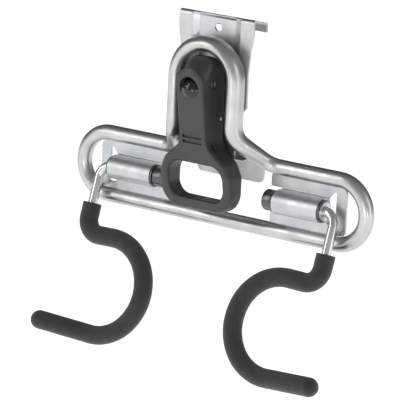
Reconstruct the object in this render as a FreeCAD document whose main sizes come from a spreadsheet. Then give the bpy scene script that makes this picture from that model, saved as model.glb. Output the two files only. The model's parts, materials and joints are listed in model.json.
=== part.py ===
import FreeCAD, Part
import math
import os

import Sketcher

# Fold-down bicycle wall rack that hangs on a storage rail.
# Frame: the wall is the plane Y = 0, the viewer is on the -Y side, +Z is up,
# and the origin is the centre of the bracket foot's wall-contact face.
# Every length is in millimetres and every angle in degrees.

Vector = FreeCAD.Vector
X_AXIS, Y_AXIS, Z_AXIS = Vector(1, 0, 0), Vector(0, 1, 0), Vector(0, 0, 1)

DIMENSIONS = {
    # racetrack-shaped ring tube
    "ring_half_straight": 116.5,
    "ring_bend_radius": 26.5,
    "ring_tube_radius": 6.4,
    "tube_wall": 1.5,
    "ring_depth": 13.6,
    "ring_drop": 17.0,
    "ring_corner": 49.0,
    "ring_corner_radius": 14.0,
    # arch tube, flattened to an oval over the lever
    "arch_half_width": 28.9,
    "arch_depth": 41.8,
    "arch_centre_height": 77.0,
    "arch_knee_height": 32.4,
    "arch_knee_radius": 20.0,
    "arch_half_across": 6.7,
    "arch_half_deep": 9.4,
    # sheet-steel rail bracket
    "sheet_steel": 2.0,
    "plate_depth": 32.4,
    "plate_top": 129.0,
    "plate_top_half": 37.0,
    "plate_head_height": 118.0,
    "plate_waist_half": 34.2,
    "plate_waist_height": 100.0,
    "plate_low_half": 33.0,
    "plate_low_height": 56.0,
    "plate_stem_half": 24.4,
    "plate_stem_height": 44.0,
    "recess_depth": 3.0,
    "recess_half_inner": 18.5,
    "recess_half_outer": 23.8,
    "flange_reach": 18.0,
    "flange_fall": 4.0,
    "lip_height": 7.7,
    "shelf_height": 12.0,
    "foot_half": 33.5,
    "foot_bottom": 10.0,
    "foot_corner": 5.0,
    "screw_hole_radius": 3.5,
    "screw_hole_height": 118.0,
    "latch_slot_side": 1.0,
    "latch_slot_drop": 0.5,
    "latch_slot_height": 8.4,
    # lock lever
    "pivot_depth": 49.2,
    "pivot_height": 74.5,
    "crown_radius": 22.6,
    "crown_corner": 9.5,
    "neck_half": 12.9,
    "lever_face_depth": 65.4,
    "dome_centre_height": 72.0,
    "lever_face_tilt": 9.7,
    "lever_back_depth": 32.7,
    "lever_wall": 3.0,
    "back_cut_rise": 4.0,
    "back_cut_run": 6.0,
    "shoulder_low_half": 30.0,
    "shoulder_height": 25.0,
    "shoulder_low": 10.5,
    "shoulder_round": 9.0,
    "waist_round": 12.0,
    "handle_half": 35.0,
    "handle_side_top": 0.0,
    "handle_bottom": 31.0,
    "handle_round": 17.0,
    "grip_half": 27.0,
    "grip_top": 8.5,
    "grip_bottom": 21.5,
    "grip_corner": 11.5,
    "dome_radius": 8.3,
    "dome_height": 4.2,
    "dome_seat_radius": 9.3,
    "dome_seat_depth": 1.6,
    "dome_stem_radius": 2.5,
    "dome_stem_length": 3.2,
    # pivot, clevis, spring and latch behind the lever
    "pivot_pin_radius": 3.0,
    "pin_clearance": 0.05,
    "ear_inner_half": 6.5,
    "ear_radius": 5.0,
    "washer_radius": 4.4,
    "washer_gap": 0.1,
    "clevis_bottom": 42.0,
    "clevis_top": 66.0,
    "rivet_radius": 1.6,
    "rivet_head_radius": 2.6,
    "rivet_head": 1.2,
    "rivet_spread": 3.6,
    "rivet_low": 48.0,
    "rivet_high": 61.0,
    "spring_wire_radius": 0.6,
    "spring_coil_radius": 4.3,
    "spring_pitch": 1.5,
    "spring_turns": 5.0,
    "spring_start_angle": 125.0,
    "spring_end_angle": 270.0,
    "spring_back_leg": 21.5,
    "spring_front_leg": 43.0,
    "tongue_radius": 51.5,
    "tongue_half_thick": 1.5,
    "tongue_half_wide": 8.0,
    "tongue_reach": 31.0,
    "cross_pin_radius": 2.6,
    "tongue_eye_radius": 4.4,
    "rear_pin_depth": 36.8,
    "rear_pin_height": 45.3,
    "rear_pin_radius": 1.8,
    # hook hinges
    "hinge_inner": 50.5,
    "hinge_outer": 124.0,
    "hinge_half_height": 20.1,
    "hinge_corner": 5.0,
    "barrel_depth": 21.0,
    "barrel_radius": 10.0,
    "barrel_inner": 62.0,
    "barrel_outer": 106.0,
    "notch_half_height": 10.4,
    "window_outer": 114.5,
    "window_up": 16.0,
    "window_down": 14.5,
    "window_rise": 8.0,
    "window_slope": 2.0,
    "window_lip": 1.5,
    "window_step": 3.0,
    "window_foot": 10.5,
    "stop_tab_drop": 15.5,
    "stop_tab_reach": 7.0,
    "strap_half_height": 14.0,
    "bush_radius": 7.95,
    "bush_length": 14.0,
    "bush_flange_radius": 9.3,
    "bush_flange": 1.8,
    "cap_radius": 8.7,
    "cap_length": 8.6,
    "cap_gap": 0.3,
    # folding hooks
    "hook_swing": 18.24,
    "hook_rod_radius": 4.0,
    "hook_running_fit": 0.05,
    "hook_shank_offset": 118.7,
    "hook_root_radius": 10.5,
    "hook_shank": 44.9,
    "hook_elbow_radius": 14.0,
    "hook_elbow_turn": 91.4,
    "hook_upper_run": 15.0,
    "hook_cradle_radius": 41.2,
    "hook_cradle_turn": 183.6,
    "hook_lower_run": 48.0,
    "hook_kick": 11.3,
    "hook_kick_radius": 40.0,
    "sleeve_radius": 8.0,
    "sleeve_start": 33.5,
    "sleeve_end_cover": 5.0,
    "rod_head_radius": 5.0,
    "rod_head": 1.0,
    # how far cutting tools run past what they cut
    "overcut": 1.0,
    "overrun": 10.0,
    "tool_reach": 60.0,
}


def make_sheet(doc):
    """Driving dimensions, one aliased cell each."""
    sheet = doc.addObject("Spreadsheet::Sheet", "Dimensions")
    for row, (alias, value) in enumerate(DIMENSIONS.items(), start=1):
        sheet.set(f"A{row}", alias)
        sheet.set(f"B{row}", str(value))
        sheet.setAlias(f"B{row}", alias)
    doc.recompute()
    return sheet


doc = FreeCAD.newDocument("WallRack")
sheet = make_sheet(doc)
kept = []


def named(text):
    """Expression text with each bare dimension name pointed at the sheet."""
    words = "".join(c if c.isalnum() or c == "_" else " " for c in text).split()
    for word in sorted(set(words), key=len, reverse=True):
        if word in DIMENSIONS:
            text = replace_word(text, word, f"Dimensions.{word}")
    return text


def replace_word(text, word, new):
    """Replace whole words only, leaving names that merely contain the word."""
    out, index = "", 0
    while index < len(text):
        end = index + len(word)
        before = text[index - 1] if index else " "
        after = text[end] if end < len(text) else " "
        whole = not (before.isalnum() or before in "_.") and not (after.isalnum() or after == "_")
        if text[index:end] == word and whole:
            out, index = out + new, end
        else:
            out, index = out + text[index], index + 1
    return out


def value(text):
    """Number that an expression in dimension names stands for."""
    return float(sheet.evalExpression(named(text)))


def bind(obj, **expressions):
    """Bind properties to expressions; x, y and z are the placement's base."""
    for key, text in expressions.items():
        path = {"x": "Placement.Base.x", "y": "Placement.Base.y", "z": "Placement.Base.z"}.get(key, key)
        obj.setExpression(path, named(text))
    return obj


def keep(obj, label):
    """Name a finished sub-part."""
    obj.Label = label
    kept.append(obj)
    return obj


# ---- solids ----------------------------------------------------------------

TURN_TO = {"x": FreeCAD.Rotation(Y_AXIS, 90), "y": FreeCAD.Rotation(X_AXIS, -90), "z": FreeCAD.Rotation()}


def cylinder(name, radius, length, x="0", y="0", z="0", along="x"):
    """Cylinder that starts at x, y, z and runs along an axis."""
    obj = doc.addObject("Part::Cylinder", name)
    obj.Placement.Rotation = TURN_TO[along]
    return bind(obj, Radius=radius, Height=length, x=x, y=y, z=z)


def box(name, size, corner):
    """Box from its low corner, with expressions for sizes and corner."""
    obj = doc.addObject("Part::Box", name)
    return bind(obj, Length=size[0], Width=size[1], Height=size[2], x=corner[0], y=corner[1], z=corner[2])


def fuse(name, shapes):
    obj = doc.addObject("Part::MultiFuse", name)
    obj.Shapes = shapes
    obj.Refine = True
    return obj


def cut(name, base, tool):
    obj = doc.addObject("Part::Cut", name)
    obj.Base, obj.Tool = base, tool
    return obj


def common(name, base, tool):
    obj = doc.addObject("Part::Common", name)
    obj.Base, obj.Tool = base, tool
    return obj


def mirrored(name, source):
    """Copy of a shape on the other side of the middle plane."""
    obj = doc.addObject("Part::Mirroring", name)
    obj.Source = source
    obj.Base, obj.Normal = Vector(), X_AXIS
    return obj


# ---- sketches --------------------------------------------------------------


def pin_vertex(sketch, line, across, up, tag):
    """Hold a line's start at two expressions."""
    for kind, axis, text in (("DistanceX", -2, across), ("DistanceY", -1, up)):
        if text == "0":
            sketch.addConstraint(Sketcher.Constraint("PointOnObject", line, 1, axis))
            continue
        index = sketch.addConstraint(Sketcher.Constraint(kind, -1, 1, line, 1, value(text)))
        name = f"{kind[-1].lower()}_{tag}"
        sketch.renameConstraint(index, name)
        sketch.setExpression(f"Constraints.{name}", named(text))


def outline(sketch, points, tag="p"):
    """Closed straight-sided outline whose corners follow expressions."""
    spots = [Vector(value(a), value(b), 0) for a, b in points]
    first = sketch.GeometryCount
    count = len(spots)
    for index in range(count):
        sketch.addGeometry(Part.LineSegment(spots[index], spots[(index + 1) % count]))
    for index in range(count):
        following = first + (index + 1) % count
        sketch.addConstraint(Sketcher.Constraint("Coincident", first + index, 2, following, 1))
    for index, (across, up) in enumerate(points):
        pin_vertex(sketch, first + index, across, up, f"{tag}{index}")


def mirror_x(points):
    """Outline on the +X side, followed by its mirror image."""
    other = [("0" if a == "0" else f"-({a})", b) for a, b in reversed(points)]
    return points + [p for p in other if p[0] != "0"]


PLANE_TURN = {
    "XY": FreeCAD.Rotation(),
    "XZ": FreeCAD.Rotation(X_AXIS, 90),
    "YZ": FreeCAD.Rotation(Vector(1, 1, 1), 120),
}
PLANE_NORMAL = {"XY": Z_AXIS, "XZ": Vector(0, -1, 0), "YZ": X_AXIS}


def slab(name, plane, start, length, outlines):
    """Prism on a main plane: XY grows to +Z, XZ to -Y and YZ to +X from start."""
    sketch = doc.addObject("Sketcher::SketchObject", f"{name}_sketch")
    sketch.Placement.Rotation = PLANE_TURN[plane]
    for index, points in enumerate(outlines):
        outline(sketch, points, f"o{index}_")
    bind(sketch, **{{"XY": "z", "XZ": "y", "YZ": "x"}[plane]: start})
    solid = doc.addObject("Part::Extrusion", name)
    solid.Base, solid.DirMode, solid.Dir, solid.Solid = sketch, "Custom", PLANE_NORMAL[plane], True
    bind(solid, LengthFwd=length)
    return solid


def is_vertical(edge, axis, spots):
    """Whether a straight edge lies along an axis at one of the given places."""
    if edge.Curve.TypeId != "Part::GeomLine":
        return False
    ends = [v.Point for v in edge.Vertexes]
    run = (ends[1] - ends[0]).normalize()
    if abs(abs(run.dot(axis)) - 1) > 1e-6:
        return False
    flat = edge.CenterOfMass - axis * edge.CenterOfMass.dot(axis)
    return any((flat - spot).Length < 0.05 for spot in spots)


def rounded(name, base, axis, corners):
    """Round the straight edges along an axis that stand at the given corners."""
    doc.recompute()
    chosen = []
    for spots, radius in corners:
        for index, edge in enumerate(base.Shape.Edges, start=1):
            if is_vertical(edge, axis, spots):
                chosen.append((index, value(radius), value(radius)))
    obj = doc.addObject("Part::Fillet", name)
    obj.Base, obj.Edges = base, chosen
    return obj


def pair_at(across, up, plane="XZ"):
    """The two mirrored places of a corner, on the plane through the origin."""
    a, b = value(across), value(up)
    if plane == "XZ":
        return [Vector(a, 0, b), Vector(-a, 0, b)]
    return [Vector(a, b, 0), Vector(-a, b, 0)]


# ---- routes ----------------------------------------------------------------


class Route:
    """Straight runs joined by tangent arcs, grown from a start point."""

    def __init__(self, start, heading):
        self.spot, self.heading, self.edges = start, Vector(heading).normalize(), []

    def run(self, length):
        following = self.spot + self.heading * length
        self.edges.append(Part.LineSegment(self.spot, following).toShape())
        self.spot = following
        return self

    def turn(self, radius, degrees, towards):
        """Arc that bends the heading towards a direction."""
        side = (towards - self.heading * towards.dot(self.heading)).normalize()
        centre = self.spot + side * radius

        def at(angle):
            return centre - side * (radius * math.cos(angle)) + self.heading * (radius * math.sin(angle))

        sweep = math.radians(degrees)
        middle, following = at(sweep / 2), at(sweep)
        self.edges.append(Part.Arc(self.spot, middle, following).toShape())
        self.heading = (self.heading * math.cos(sweep) + side * math.sin(sweep)).normalize()
        self.spot = following
        return self

    def wire(self):
        return Part.Wire(self.edges)


def corner_turn(before, after, radius):
    """Degrees turned and the length an arc uses up on each side of a corner."""
    angle = math.acos(max(-1, min(1, before.dot(after))))
    return math.degrees(angle), radius * math.tan(angle / 2)


def swept(name, wire, radius):
    """Round bar along a route."""
    spine = doc.addObject("Part::Feature", f"{name}_route")
    spine.Shape = wire
    start = wire.Edges[0].valueAt(wire.Edges[0].FirstParameter)
    heading = wire.Edges[0].tangentAt(wire.Edges[0].FirstParameter)
    section = doc.addObject("Part::Circle", f"{name}_section")
    section.Placement = FreeCAD.Placement(start, FreeCAD.Rotation(Z_AXIS, heading))
    bind(section, Radius=radius)
    solid = doc.addObject("Part::Sweep", name)
    solid.Sections, solid.Solid, solid.Frenet = [section], True, False
    solid.Spine = (spine, [f"Edge{n + 1}" for n in range(len(wire.Edges))])
    return solid


# ---- ring and arch ----------------------------------------------------------


def ring_tube():
    """Racetrack of round tube, open along the top between the arch's feet."""
    bend = value("ring_bend_radius")
    seam = value("ring_corner") + corner_reach()
    top = Vector(seam, -value("ring_depth"), bend - value("ring_drop"))
    half = value("ring_half_straight")
    route = Route(top, X_AXIS).run(half - seam).turn(bend, 180, -Z_AXIS)
    route.run(2 * half).turn(bend, 180, Z_AXIS).run(half - seam)
    solid = swept("ring_sweep", route.wire(), "ring_tube_radius")
    hollow = swept("ring_hollow", route.wire(), "ring_tube_radius - tube_wall")
    keep(cut("ring_cut", solid, hollow), "ring_tube")


def foot_heading():
    """Direction of an arch foot's slanting run, from knee to ring corner."""
    knee = Vector(value("arch_half_width"), -value("arch_depth"), value("arch_knee_height"))
    corner = Vector(value("ring_corner"), -value("ring_depth"), value("ring_bend_radius - ring_drop"))
    slant = corner - knee
    return slant.normalize(), (corner - knee).Length, knee


def corner_reach():
    """How far past its corner the arch foot runs before it meets the ring."""
    heading, _, _ = foot_heading()
    return corner_turn(heading, X_AXIS, value("ring_corner_radius"))[1]


def oval(centre, heading, wide_axis, half_deep, half_across):
    """Oval face outline square to a heading, its long axis along wide_axis."""
    long_axis = (wide_axis - heading * wide_axis.dot(heading)).normalize()
    return Part.Wire(Part.Ellipse(centre + long_axis * half_deep,
                                  centre + heading.cross(long_axis) * half_across, centre).toShape())


def arch_foot(side, inset):
    """Tapered slant from the oval arch to the round ring, and its last bend."""
    heading, slant_length, knee = foot_heading()
    knee_turn, knee_reach = corner_turn(-Z_AXIS, heading, value("arch_knee_radius"))
    last_turn, last_reach = corner_turn(heading, X_AXIS, value("ring_corner_radius"))
    deep, across = value("arch_half_deep") - inset, value("arch_half_across") - inset
    bend = Route(knee + Z_AXIS * knee_reach, -Z_AXIS).turn(value("arch_knee_radius"), knee_turn, heading)
    section = oval(knee + Z_AXIS * knee_reach, -Z_AXIS, Y_AXIS, deep, across)
    knee_solid = bend.wire().makePipeShell([section], True, False)
    upper = max((f for f in knee_solid.Faces if f.CenterOfMass.distanceToPoint(bend.spot) < 0.5),
                key=lambda f: -f.CenterOfMass.distanceToPoint(bend.spot)).OuterWire
    slant_end = bend.spot + heading * (slant_length - knee_reach - last_reach)
    lower = Part.Wire(Part.Circle(slant_end, heading, value("ring_tube_radius") - inset).toShape())
    taper = Part.makeLoft([upper, lower], True)
    last = Route(slant_end, heading).turn(value("ring_corner_radius"), last_turn, X_AXIS)
    last_solid = last.wire().makePipeShell([lower], True, False)
    foot = knee_solid.fuse([taper, last_solid])
    return foot if side > 0 else foot.mirror(Vector(), X_AXIS)


def arch_bar(inset):
    """Hoop and both feet as one bar, drawn in by an inset all round."""
    heading, _, knee = foot_heading()
    knee_reach = corner_turn(-Z_AXIS, heading, value("arch_knee_radius"))[1]
    half = value("arch_half_width")
    start = knee + Z_AXIS * knee_reach
    leg = value("arch_centre_height") - start.z
    route = Route(start, Z_AXIS).run(leg).turn(half, 180, -X_AXIS).run(leg)
    section = oval(start, Z_AXIS, Y_AXIS, value("arch_half_deep") - inset, value("arch_half_across") - inset)
    hoop = route.wire().makePipeShell([section], True, False)
    return hoop.fuse([arch_foot(1, inset), arch_foot(-1, inset)])


def arch_tube():
    """Omega-shaped tube over the lever; its feet reach back and out to the ring."""
    arch = doc.addObject("Part::Feature", "arch_shape")
    arch.Shape = arch_bar(0).cut(arch_bar(value("tube_wall")))
    keep(arch, "arch_tube")


# ---- rail bracket ------------------------------------------------------------


def rail_bracket():
    """Stamped hanger: top flange and lip for the rail, shelf and wall foot."""
    outer, inner = "recess_half_outer", "recess_half_inner"
    front, back = "-plate_depth", "-(plate_depth - sheet_steel)"
    deep_front, deep_back = f"{front} + recess_depth", f"{back} + recess_depth"
    profile = mirror_x([("0", deep_front), (inner, deep_front), (outer, front), ("plate_top_half", front),
                        ("plate_top_half", back), (outer, back), (inner, deep_back), ("0", deep_back)])
    profile = [p for p in profile if p[0] != "0"]
    plate = slab("plate", "XY", "shelf_height", "plate_top - shelf_height", [profile])
    flange_back = "-(plate_depth - sheet_steel - flange_reach)"
    flange = slab("flange", "YZ", "-plate_top_half", "2 * plate_top_half", [[
        (front, "plate_top - sheet_steel"), (front, "plate_top"),
        (flange_back, "plate_top - flange_fall"),
        (flange_back, "plate_top - flange_fall - lip_height"),
        (f"{flange_back} - sheet_steel", "plate_top - flange_fall - lip_height"),
        (f"{flange_back} - sheet_steel",
         "plate_top - flange_fall - sheet_steel * (1 - flange_fall / (flange_reach + sheet_steel))"),
    ]])
    recess = slab("flange_recess", "XY", "plate_top - overrun", "2 * overrun", [mirror_x([
        (inner, deep_front), (outer, front), (outer, f"{front} - overcut")])])
    shelf = slab("shelf", "YZ", "-foot_half", "2 * foot_half", [[
        (front, "shelf_height"), (front, "shelf_height + sheet_steel"),
        ("0", "shelf_height + sheet_steel"), ("0", "-foot_bottom"),
        ("-sheet_steel", "-foot_bottom"), ("-sheet_steel", "shelf_height"),
    ]])
    blank = fuse("bracket_blank", [plate, cut("flange_cut", flange, recess), shelf])
    shape = slab("bracket_outline", "XZ", "overcut", "plate_depth + 2 * overcut", [mirror_x([
        ("foot_half", "-foot_bottom"), ("foot_half", "shelf_height + sheet_steel"),
        ("plate_stem_half", "shelf_height + sheet_steel"), ("plate_stem_half", "plate_stem_height"),
        ("plate_low_half", "plate_low_height"), ("plate_waist_half", "plate_waist_height"),
        ("plate_top_half", "plate_head_height"), ("plate_top_half", "plate_top + overcut")])])
    trimmed = common("bracket_trim", blank, rounded("bracket_round", shape, Y_AXIS, [
        (pair_at("foot_half", "-foot_bottom"), "foot_corner")]))
    tools = [cylinder("screw_hole", "screw_hole_radius", "overcut + recess_depth + sheet_steel",
                      y="-plate_depth - overcut", z="screw_hole_height", along="y"),
             box("latch_slot", ("2 * (tongue_half_wide + latch_slot_side)", "overrun", "latch_slot_height"),
                 ("-(tongue_half_wide + latch_slot_side)", "-plate_depth - overcut",
                  "pivot_height - tongue_radius - latch_slot_drop"))]
    tools += rivet_shanks("bracket_rivet_hole", "rivet_radius")
    keep(cut("bracket_cut", trimmed, fuse("bracket_tools", tools)), "rail_bracket")


# ---- lever, clevis and latch ---------------------------------------------------

LEVER_PINS = (
    ("lever_pivot_pin", "pivot_pin_radius", "pivot_depth", "pivot_height"),
    ("latch_cross_pin", "cross_pin_radius", "pivot_depth", "pivot_height - tongue_radius"),
    ("lever_rear_pin", "rear_pin_radius", "rear_pin_depth", "rear_pin_height"),
)


def rivet_shanks(name, radius):
    """Four short cylinders where the clevis is riveted to the bracket."""
    shanks = []
    for index, (side, height) in enumerate((s, h) for s in ("", "-") for h in ("rivet_low", "rivet_high")):
        shanks.append(cylinder(f"{name}_{index}", radius, "2 * sheet_steel",
                               x=f"{side}rivet_spread", y="-(plate_depth - recess_depth + sheet_steel)",
                               z=height, along="y"))
    return shanks


def lever_clevis():
    """Bent steel clevis whose two ears carry the lever's pivot."""
    face = "-(plate_depth - recess_depth)"
    ear_points = [
        (face, "clevis_bottom"), (face, "clevis_top"),
        ("-pivot_depth", "pivot_height + ear_radius"), ("-pivot_depth", "pivot_height - ear_radius")]
    solids = []
    for side, start in (("right", "ear_inner_half"), ("left", "-(ear_inner_half + sheet_steel)")):
        solids.append(slab(f"ear_{side}", "YZ", start, "sheet_steel", [ear_points]))
        solids.append(cylinder(f"ear_end_{side}", "ear_radius", "sheet_steel", x=start, y="-pivot_depth",
                               z="pivot_height"))
    solids.append(box("clevis_base",
                      ("2 * ear_inner_half + sheet_steel", "sheet_steel", "clevis_top - clevis_bottom"),
                      ("-ear_inner_half - sheet_steel / 2", f"{face} - sheet_steel", "clevis_bottom")))
    tools = rivet_shanks("clevis_rivet_hole", "rivet_radius")
    tools.append(cylinder("ear_bore", "pivot_pin_radius + pin_clearance", "2 * neck_half", x="-neck_half",
                          y="-pivot_depth", z="pivot_height"))
    keep(cut("clevis_cut", fuse("clevis_blank", solids), fuse("clevis_tools", tools)), "lever_clevis")


def clevis_rivets():
    """Four rivets, headed on the lever side and set flush on the rail side."""
    pieces = []
    for index, shank in enumerate(rivet_shanks("rivet_shank", "rivet_radius")):
        side, height = (("", "-")[index // 2], ("rivet_low", "rivet_high")[index % 2])
        head = cylinder(f"rivet_head_{index}", "rivet_head_radius", "rivet_head", x=f"{side}rivet_spread",
                        y="-(plate_depth - recess_depth + sheet_steel + rivet_head)", z=height, along="y")
        pieces.append(fuse(f"rivet_{index}", [shank, head]))
    group = doc.addObject("Part::Compound", "rivet_group")
    group.Links = pieces
    keep(group, "clevis_rivets")


def face_depth(height, inset="0"):
    """How far in front of the wall the lever's tilted face is at a height."""
    tilt = math.tan(math.radians(value("lever_face_tilt")))
    return f"lever_face_depth + ({height} - dome_centre_height) * {tilt:.6f} - ({inset})"


def lever_side(name, inset, back, bottom):
    """Side profile as a slab: tilted face, upright back and a crown round the pivot."""
    top = "pivot_height + crown_radius"
    profile = [(f"-({back})", bottom), (f"-({back})", top),
               (f"-({face_depth(top, inset)})", top), (f"-({face_depth(bottom, inset)})", bottom)]
    crown = cylinder(f"{name}_crown", f"crown_radius - {inset}", "2 * tool_reach", x="-tool_reach",
                     y="-pivot_depth", z="pivot_height")
    below = box(f"{name}_below", ("2 * tool_reach", "2 * tool_reach", f"pivot_height - ({bottom})"),
                ("-tool_reach", "-2 * tool_reach", bottom))
    return common(f"{name}_side", slab(f"{name}_wedge", "YZ", "-tool_reach", "2 * tool_reach", [profile]),
                  fuse(f"{name}_rounding", [crown, below]))


def lock_lever():
    """Moulded lever: hollow neck with a round crown, and a looped handle."""
    depth, top = "lever_face_depth + overrun", "pivot_height + crown_radius"
    hull = slab("lever_front", "XZ", "0", depth, [mirror_x([
        ("handle_half", "-handle_bottom"), ("handle_half", "handle_side_top"),
        ("shoulder_low_half", "shoulder_low"), ("neck_half", "shoulder_height"), ("neck_half", top)])])
    hull = rounded("lever_front_round", hull, Y_AXIS, [
        (pair_at("handle_half", "-handle_bottom"), "handle_round"),
        (pair_at("handle_half", "handle_side_top"), "shoulder_round"),
        (pair_at("shoulder_low_half", "shoulder_low"), "shoulder_round"),
        (pair_at("neck_half", "shoulder_height"), "waist_round"),
        (pair_at("neck_half", top), "crown_corner")])
    side = lever_side("lever", "0", "lever_back_depth", "-handle_bottom - overcut")
    solid = common("lever_solid", hull, side)

    grip = slab("lever_grip", "XZ", "0", depth, [mirror_x([
        ("grip_half", "-grip_bottom"), ("grip_half", "grip_top")])])
    grip = rounded("lever_grip_round", grip, Y_AXIS, [
        (pair_at("grip_half", "-grip_bottom"), "grip_corner"),
        (pair_at("grip_half", "grip_top"), "grip_corner")])
    bay_top = f"{top} - lever_wall"
    bay_front = slab("lever_bay_front", "XZ", "0", depth, [mirror_x([
        ("neck_half - lever_wall", "shoulder_height - overrun"), ("neck_half - lever_wall", bay_top)])])
    bay_front = rounded("lever_bay_round", bay_front, Y_AXIS, [
        (pair_at("neck_half - lever_wall", bay_top), "crown_corner - lever_wall")])
    bay_side = lever_side("lever_bay", "lever_wall", "lever_back_depth - overrun", "-handle_bottom")
    bay = common("lever_bay_solid", bay_front, bay_side)
    back = "-lever_back_depth"
    back_cut = slab("lever_back_cut", "YZ", "-tool_reach", "2 * tool_reach", [[
        (back, "pivot_height + back_cut_rise"), (f"{back} + overrun", "pivot_height + back_cut_rise"),
        (f"{back} + overrun", f"{top} + overcut"), (f"{back} - back_cut_run", f"{top} + overcut")]])
    seat = cylinder("dome_seat", "dome_seat_radius", "overrun", y="0", z="0", along="y")
    stem_hole = cylinder("dome_stem_hole", "dome_stem_radius", "2 * overrun", y="0", z="0", along="y")
    for tool, start in ((seat, "overrun - dome_seat_depth"), (stem_hole, "overrun")):
        place_on_face(tool, start)
    tools = [grip, bay, back_cut, seat, stem_hole]
    for name, radius, depth, height in LEVER_PINS:
        tools.append(cylinder(f"{name}_hole", radius, "2 * tool_reach", x="-tool_reach", y=f"-{depth}",
                              z=height))
    keep(cut("lever_cut", solid, fuse("lever_tools", tools)), "lock_lever")


def place_on_face(obj, start):
    """Turn a Y-running solid square to the lever's face, starting in front of it."""
    tilt = math.radians(value("lever_face_tilt"))
    out = Vector(0, -math.cos(tilt), math.sin(tilt))
    anchor = Vector(0, -value("lever_face_depth"), value("dome_centre_height"))
    spot = anchor + out * value(start)
    obj.setExpression("Placement.Base.y", None)
    obj.setExpression("Placement.Base.z", None)
    obj.Placement = FreeCAD.Placement(spot, FreeCAD.Rotation(Z_AXIS, -out))
    return obj


def dome_cap():
    """Glossy button pressed into the lever's face over the pivot."""
    radius, height = value("dome_radius"), value("dome_height")
    sphere_radius = (radius ** 2 + height ** 2) / (2 * height)
    body = doc.addObject("PartDesign::Body", "dome_body")
    sketch = body.newObject("Sketcher::SketchObject", "dome_sketch")
    plane = next(f for f in body.Origin.OriginFeatures if f.Role == "XZ_Plane")
    sketch.AttachmentSupport, sketch.MapMode = [(plane, "")], "FlatFace"
    stem, depth = value("dome_stem_radius"), value("dome_stem_length")
    rim = Vector(radius, 0, 0)
    crown = Vector(0, height, 0)
    middle_angle = math.asin(radius / sphere_radius) / 2
    middle = Vector(sphere_radius * math.sin(middle_angle),
                    height - sphere_radius + sphere_radius * math.cos(middle_angle), 0)
    corners = [crown, Vector(0, -depth, 0), Vector(stem, -depth, 0), Vector(stem, 0, 0), rim]
    for start, end in zip(corners, corners[1:]):
        sketch.addGeometry(Part.LineSegment(start, end))
    sketch.addGeometry(Part.Arc(rim, middle, crown))
    for index in range(sketch.GeometryCount):
        following = (index + 1) % sketch.GeometryCount
        sketch.addConstraint(Sketcher.Constraint("Coincident", index, 2, following, 1))
    turned = body.newObject("PartDesign::Revolution", "dome_turned")
    turned.Profile, turned.ReferenceAxis, turned.Angle = sketch, (sketch, ["V_Axis"]), 360
    tilt = math.radians(value("lever_face_tilt"))
    out = Vector(0, -math.cos(tilt), math.sin(tilt))
    anchor = Vector(0, -value("lever_face_depth"), value("dome_centre_height"))
    body.Placement = FreeCAD.Placement(anchor - out * value("dome_seat_depth"), FreeCAD.Rotation(Z_AXIS, out))
    keep(body, "dome_cap")


def lever_pins():
    """Pivot pin, latch pin and rear pin, all flush with the neck's sides."""
    for name, radius, depth, height in LEVER_PINS:
        keep(cylinder(f"{name}_bar", radius, "2 * neck_half", x="-neck_half", y=f"-{depth}", z=height), name)


def pivot_washers():
    """Two thin washers between the clevis ears and the lever's walls."""
    pieces = []
    inner_face = "ear_inner_half + sheet_steel + washer_gap"
    thickness = f"neck_half - lever_wall - ({inner_face})"
    for side, start in (("right", inner_face), ("left", "-(neck_half - lever_wall)")):
        disc = cylinder(f"washer_disc_{side}", "washer_radius", thickness, x=start, y="-pivot_depth",
                        z="pivot_height")
        hole = cylinder(f"washer_hole_{side}", "pivot_pin_radius", thickness, x=start, y="-pivot_depth",
                        z="pivot_height")
        pieces.append(cut(f"washer_{side}", disc, hole))
    group = doc.addObject("Part::Compound", "washer_group")
    group.Links = pieces
    keep(group, "pivot_washers")


def lever_spring():
    """Torsion spring round the pivot pin: one leg on the clevis, one towards the latch."""
    coil_radius, pitch = value("spring_coil_radius"), value("spring_pitch")
    start_angle = value("spring_start_angle")
    turns = value("spring_turns") + (value("spring_end_angle") - start_angle) / 360
    coil_length = pitch * turns
    start, start_heading = Vector(coil_radius, 0, 0), Vector(0, 2 * math.pi * coil_radius, pitch).normalize()
    to_end = FreeCAD.Rotation(Z_AXIS, 360 * turns)
    end, end_heading = to_end.multVec(start) + Z_AXIS * coil_length, to_end.multVec(start_heading)
    back_tip = start - start_heading * value("spring_back_leg")
    front_tip = end + end_heading * value("spring_front_leg")
    helix = Part.makeHelix(pitch, coil_length, coil_radius)
    line = Part.Wire([Part.makeLine(back_tip, start)] + helix.Edges + [Part.makeLine(end, front_tip)])
    section = Part.Wire(Part.Circle(back_tip, start_heading, value("spring_wire_radius")).toShape())
    spring = doc.addObject("Part::Feature", "spring_shape")
    spring.Shape = line.makePipeShell([section], True, False)
    turn = FreeCAD.Rotation(Y_AXIS, 90).multiply(FreeCAD.Rotation(Z_AXIS, start_angle))
    spring.Placement = FreeCAD.Placement(
        Vector(-coil_length / 2, -value("pivot_depth"), value("pivot_height")), turn)
    keep(spring, "lever_return_spring")


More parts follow.
